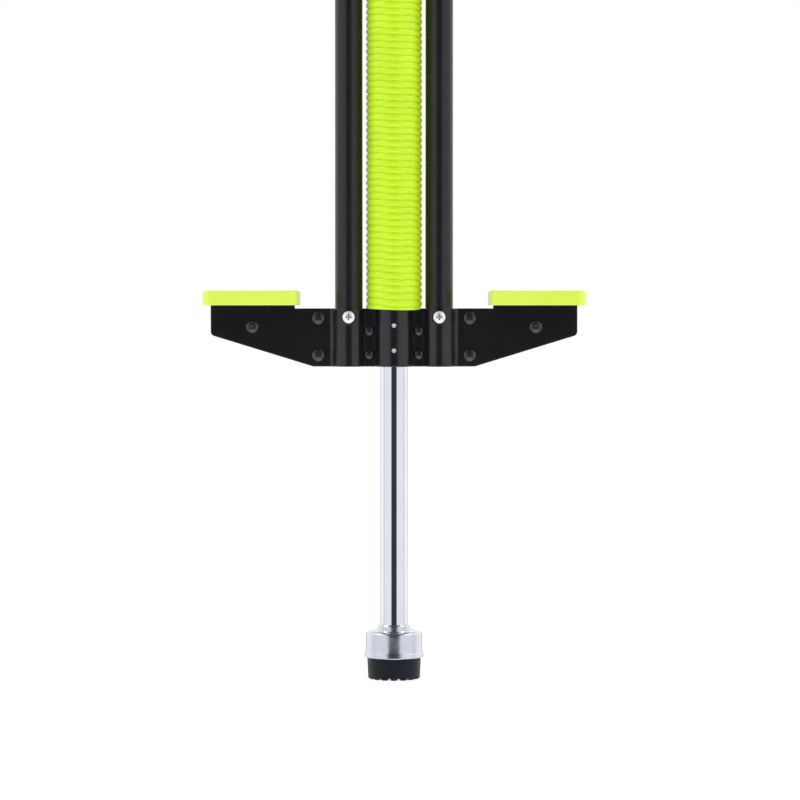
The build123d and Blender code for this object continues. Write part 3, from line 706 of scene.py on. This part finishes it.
def foot_cup():
    """The chromed cup: beaded neck, dished roof, rounded shoulder, straight wall and a flared lip."""
    low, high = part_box("foot_cup")
    bore_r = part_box("foot_tip")[1].x
    lip_r = high.x
    roof = high.z - CUP_NECK
    shoulder_r = CUP_WALL_R - SHOULDER
    outline = [(PISTON_R, roof - CUP_ROOF_THICK)]
    outline += [(PISTON_R + out, high.z - down) for out, down in NECK_RIM]
    outline += arc((PISTON_R, high.z - NECK_BEAD - NECK_BEAD_SUNK), NECK_BEAD, 70, 0, steps=8)
    fillet_middle = (PISTON_R + NECK_BEAD + NECK_FILLET, roof + NECK_FILLET_UP)
    outline += arc(fillet_middle, NECK_FILLET, 180, 270, steps=7)
    outline.append((PISTON_R + DISH_INNER[0], roof - DISH_INNER[1]))
    outline.append((shoulder_r - DISH_OUTER[0], roof - DISH_OUTER[1]))
    outline += arc((shoulder_r, roof - SHOULDER), SHOULDER, 92, 0, steps=16)
    outline += [(CUP_WALL_R, roof - SHOULDER - CUP_HOLD), (CUP_WALL_R, low.z + FLARE_HIGH + CUP_HOLD)]
    outline += arc((CUP_WALL_R + FLARE_R, low.z + FLARE_HIGH), FLARE_R, 180, 180 + FLARE_TURN, steps=8)
    outline += [(lip_r - inset, low.z + up) for inset, up in LIP_EDGE]
    outline += [(bore_r, low.z), (bore_r, roof - CUP_ROOF_THICK)]
    verts, faces = turned(outline, facets=CUP_FACETS)
    return add_piece("foot_cup_plate", verts, faces, "piston", "chrome_plate", ("foot_cup",), sharp=50)


def foot_tip():
    """The rubber tip: a slightly tapered plug with rounded tread lugs cut into its lower edge."""
    low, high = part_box("foot_tip")
    plug_r = high.x
    tread_r = plug_r - TIP_TAPER
    lip_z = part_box("foot_cup")[0].z
    washer_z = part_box("tip_washer")[0].z
    profile = [(PIECE_CENTRE, low.z, 0)]
    profile += [(radius, low.z + up, notched) for radius, up, notched in SOLE]
    profile += [(tread_r + out, low.z + up, notched) for out, up, notched in TREAD_SIDE]
    profile += [(plug_r - inset, lip_z + up, 0) for inset, up in PLUG_EDGE]
    profile += [(plug_r, high.z, 0), (PISTON_R, high.z, 0)]
    profile += [(PISTON_R, washer_z, 0), (PIECE_CENTRE, washer_z, 0)]
    columns = LUGS * LUG_COLUMNS
    verts = []
    for radius, z, notched in profile:
        for column, (cosine, sine) in enumerate(circle(columns)):
            wave = math.cos(2 * math.pi * column / LUG_COLUMNS)
            notch = 1 / (1 + math.exp(NOTCH_STEEP * (wave - NOTCH_LEVEL)))
            verts.append((radius * cosine, radius * sine, z + LUG_DEEP * notched * notch))
    faces = grid_faces(len(profile), columns, close_rows=True)
    return add_piece("foot_tip_rubber", verts, faces, "piston", "black_rubber", ("foot_tip",), sharp=55)


# ---------------------------------------------------------------- main spring
WIRE_R = 3 * MM
WIRE_FACETS = 10
COILS = 44
COIL_STEPS = 28
END_COILS = 1.5  # closed coils at each end
END_PITCH = 2.02 * WIRE_R


def main_spring():
    """The coil inside the cover, built as one fixed mesh at its full length; the real coil shortens as the
    piston goes up.
    """
    low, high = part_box("main_spring")
    coil_r = high.x - WIRE_R
    span = high.z - low.z - 2 * WIRE_R
    pitch = (span - 2 * END_COILS * END_PITCH) / (COILS - 2 * END_COILS)
    loops = []
    for step in range(COILS * COIL_STEPS + 1):
        coils = step / COIL_STEPS
        closed = min(coils, END_COILS) + max(0.0, coils - (COILS - END_COILS))
        z = low.z + WIRE_R + END_PITCH * closed + pitch * (coils - closed)
        turn = 2 * math.pi * coils
        loop = []
        for cosine, sine in circle(WIRE_FACETS):
            radius = coil_r + WIRE_R * cosine
            loop.append((radius * math.cos(turn), radius * math.sin(turn), z + WIRE_R * sine))
        loops.append(loop)
    verts, faces = stack(loops)
    coil = add_piece("main_spring_coil", verts, faces, "frame", "spring_steel", ("main_spring",), sharp=60)
    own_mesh(coil)
    return coil


# ---------------------------------------------------------------- stage
FLOOR_REACH = 40.0
FLOOR_GREY = (0.4, 0.4, 0.4, 1)
FLOOR_ROUGHNESS = 0.9
FLOOR_GLOW = 1.8


def build_floor():
    """A pale glowing floor. Shiny surfaces see the world's shaded ground instead of it."""
    material = bpy.data.materials.new("floor")
    material.use_nodes = True
    shader = material.node_tree.nodes["Principled BSDF"]
    shader.inputs["Base Color"].default_value = FLOOR_GREY
    shader.inputs["Roughness"].default_value = FLOOR_ROUGHNESS
    shader.inputs["Specular IOR Level"].default_value = 0.0
    shader.inputs["Emission Color"].default_value = FLOOR_GREY
    shader.inputs["Emission Strength"].default_value = FLOOR_GLOW
    corners = [(x * FLOOR_REACH, y * FLOOR_REACH, 0) for x, y in ((-1, -1), (1, -1), (1, 1), (-1, 1))]
    mesh = bpy.data.meshes.new("floor")
    mesh.from_pydata(corners, [], [(0, 1, 2, 3)])
    mesh.materials.append(material)
    floor = bpy.data.objects.new("floor", mesh)
    bpy.context.scene.collection.objects.link(floor)
    floor.visible_glossy = False


# ---------------------------------------------------------------- light
# What shiny surfaces see, by the direction they look in: white walls with a dark gap in front and overhead,
# and a shaded ground. It is fixed in the room. Each pair is where a change starts and where it ends.
DIFFUSE_LIGHT = 0.83  # strength of the surround on matt surfaces
GAP_COLOUR = (0.040, 0.046, 0.064, 1)
GAP_SIDES = (0.42, 0.34)  # of |x|, the gap being in the middle
GAP_FOOT = (-0.34, -0.20)  # of z
GAP_OVERHEAD = (0.50, 0.68)  # of z: above this the gap is there behind as well as in front
GAP_LOW = (0.06, 0.01)  # of z: and below this too
REAR_WALL = (0.0, 0.5)  # of y
REAR_STRENGTH = 1.14
SIDE_LINE = (0.996, 0.9985)  # of the sine of the bearing: a thin greyer line at each side
SIDE_LINE_STRENGTH = 0.8
GROUND_TOP = (-0.20, -0.36)  # of z
GROUND_MIDDLE, GROUND_SIDES = (0.32, 0.48), (0.50, 0.75)  # of |x|
MIDDLE_STRENGTH, BETWEEN_STRENGTH, SIDES_STRENGTH = 1.40, 0.30, 0.85
LEAST_RUN = 0.001  # keeps the bearing defined straight up and down

LAMP_SIZE = 0.6
LAMP_WATTS = 10
LAMP_PLACE = Vector((1.5, 0.2, 2.2))  # of the right-hand lamp; the other mirrors it
LAMP_AIM = Vector((0, 0, 0.3))  # the lower bracket


def world_light():
    """White studio surround. Shiny surfaces also see dark gaps between the lights and a shaded ground."""
    world = bpy.data.worlds.new("studio")
    bpy.context.scene.world = world
    world.use_nodes = True
    tree = world.node_tree
    surround = tree.nodes["Background"]

    def maths(operation, *values):
        """The result of one operation on numbers and sockets."""
        node = tree.nodes.new("ShaderNodeMath")
        node.operation = operation
        for socket, value in zip(node.inputs, values):
            if isinstance(value, (int, float)):
                socket.default_value = value
            else:
                tree.links.new(value, socket)
        return node.outputs[0]

    def ease(value, between, low=0.0, high=1.0):
        """Goes smoothly from low to high while the value goes from one end of `between` to the other."""
        edge = tree.nodes.new("ShaderNodeMapRange")
        edge.interpolation_type = "SMOOTHSTEP"
        for socket, number in zip(("From Min", "From Max", "To Min", "To Max"), (*between, low, high)):
            edge.inputs[socket].default_value = number
        tree.links.new(value, edge.inputs["Value"])
        return edge.outputs["Result"]

    direction = tree.nodes.new("ShaderNodeTexCoord").outputs["Generated"]
    split = tree.nodes.new("ShaderNodeSeparateXYZ")
    tree.links.new(direction, split.inputs[0])
    x, y, z = split.outputs
    across = maths("ABSOLUTE", x)
    run = maths("SQRT", maths("ADD", maths("MULTIPLY", x, x), maths("MULTIPLY", y, y)))
    bearing = maths("DIVIDE", across, maths("MAXIMUM", run, LEAST_RUN))

    in_front = maths("LESS_THAN", y, 0.0)
    all_round = maths("MAXIMUM", ease(z, GAP_OVERHEAD), ease(z, GAP_LOW))
    gap = maths("MULTIPLY", ease(across, GAP_SIDES), ease(z, GAP_FOOT))
    gap = maths("MULTIPLY", gap, maths("MAXIMUM", in_front, all_round))

    walls = ease(y, REAR_WALL, 1.0, REAR_STRENGTH)
    walls = maths("MULTIPLY", walls, ease(bearing, SIDE_LINE, 1.0, SIDE_LINE_STRENGTH))
    ground = ease(across, GROUND_MIDDLE, MIDDLE_STRENGTH, BETWEEN_STRENGTH)
    ground = maths("ADD", ground, ease(across, GROUND_SIDES, 0.0, SIDES_STRENGTH - BETWEEN_STRENGTH))
    below = ease(z, GROUND_TOP)
    above = maths("SUBTRACT", 1.0, below)
    reflected = maths("ADD", maths("MULTIPLY", walls, above), maths("MULTIPLY", ground, below))

    ray = tree.nodes.new("ShaderNodeLightPath")
    shiny = ray.outputs["Is Glossy Ray"]
    dull = maths("SUBTRACT", 1.0, shiny)
    plain = maths("SUBTRACT", 1.0, maths("MULTIPLY", ray.outputs["Is Diffuse Ray"], 1 - DIFFUSE_LIGHT))
    strength = maths("ADD", maths("MULTIPLY", shiny, reflected), maths("MULTIPLY", dull, plain))
    tree.links.new(strength, surround.inputs["Strength"])

    colour = tree.nodes.new("ShaderNodeMix")
    colour.data_type = "RGBA"
    colour.inputs["A"].default_value = (1, 1, 1, 1)
    colour.inputs["B"].default_value = GAP_COLOUR
    tree.links.new(maths("MULTIPLY", gap, shiny), colour.inputs["Factor"])
    tree.links.new(colour.outputs["Result"], surround.inputs["Color"])


def softbox(name, side):
    """A square soft light above and to one side, aimed at the lower bracket. side is -1 left, 1 right."""
    lamp = bpy.data.lights.new(name, "AREA")
    lamp.size = LAMP_SIZE
    lamp.energy = LAMP_WATTS
    light = bpy.data.objects.new(name, lamp)
    light.location = (side * LAMP_PLACE.x, LAMP_PLACE.y, LAMP_PLACE.z)
    light.rotation_euler = (LAMP_AIM - light.location).to_track_quat("-Z", "Y").to_euler()
    bpy.context.scene.collection.objects.link(light)


# ---------------------------------------------------------------- camera
CAMERA_BACK = 2.8
CAMERA_HIGH = 0.35
VIEW_WIDTH = 0.736  # what the picture takes in from side to side, at the piston
SENSOR = 36.0  # width in mm
AIM = Vector((0.0055, 0.0, 0.2567))


def build_camera():
    """A long lens at foot-pad height, looking slightly down at the lower half."""
    data = bpy.data.cameras.new("camera")
    data.sensor_width = SENSOR
    data.lens = SENSOR * CAMERA_BACK / VIEW_WIDTH
    camera = bpy.data.objects.new("camera", data)
    camera.location = (AIM.x, -CAMERA_BACK, CAMERA_HIGH)
    camera.rotation_euler = (AIM - camera.location).to_track_quat("-Z", "Y").to_euler()
    bpy.context.scene.collection.objects.link(camera)
    bpy.context.scene.camera = camera


# ---------------------------------------------------------------- build
build_camera()
world_light()
build_floor()
softbox("overhead_left", -1)
softbox("overhead_right", 1)
bpy.context.scene.view_settings.view_transform = "Standard"

paint_cad_nodes()
pieces = [
    frame_tube(-1, "left_frame_tube"), frame_tube(1, "right_frame_tube"), spring_cover(),
    foot_pad("left_foot_pad"), foot_pad("right_foot_pad"),
    grip(-1, "left_grip"), grip(1, "right_grip"),
    piston_skin(), foot_cup(), foot_tip(), main_spring(),
    rivets("lower_bracket_rivets", domed_head), rivets("upper_bracket_rivets", domed_head),
    rivets("wing_rivets", dimpled_head), bushing_pins()]
for piece in pieces:
    paint(piece, piece["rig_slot"])
bpy.data.objects["foot_cup_plate"].data.materials[0] = MATERIALS["turned_chrome"]
bpy.data.objects["bushing_pins_ends"].data.materials[0] = MATERIALS["pin_steel"]
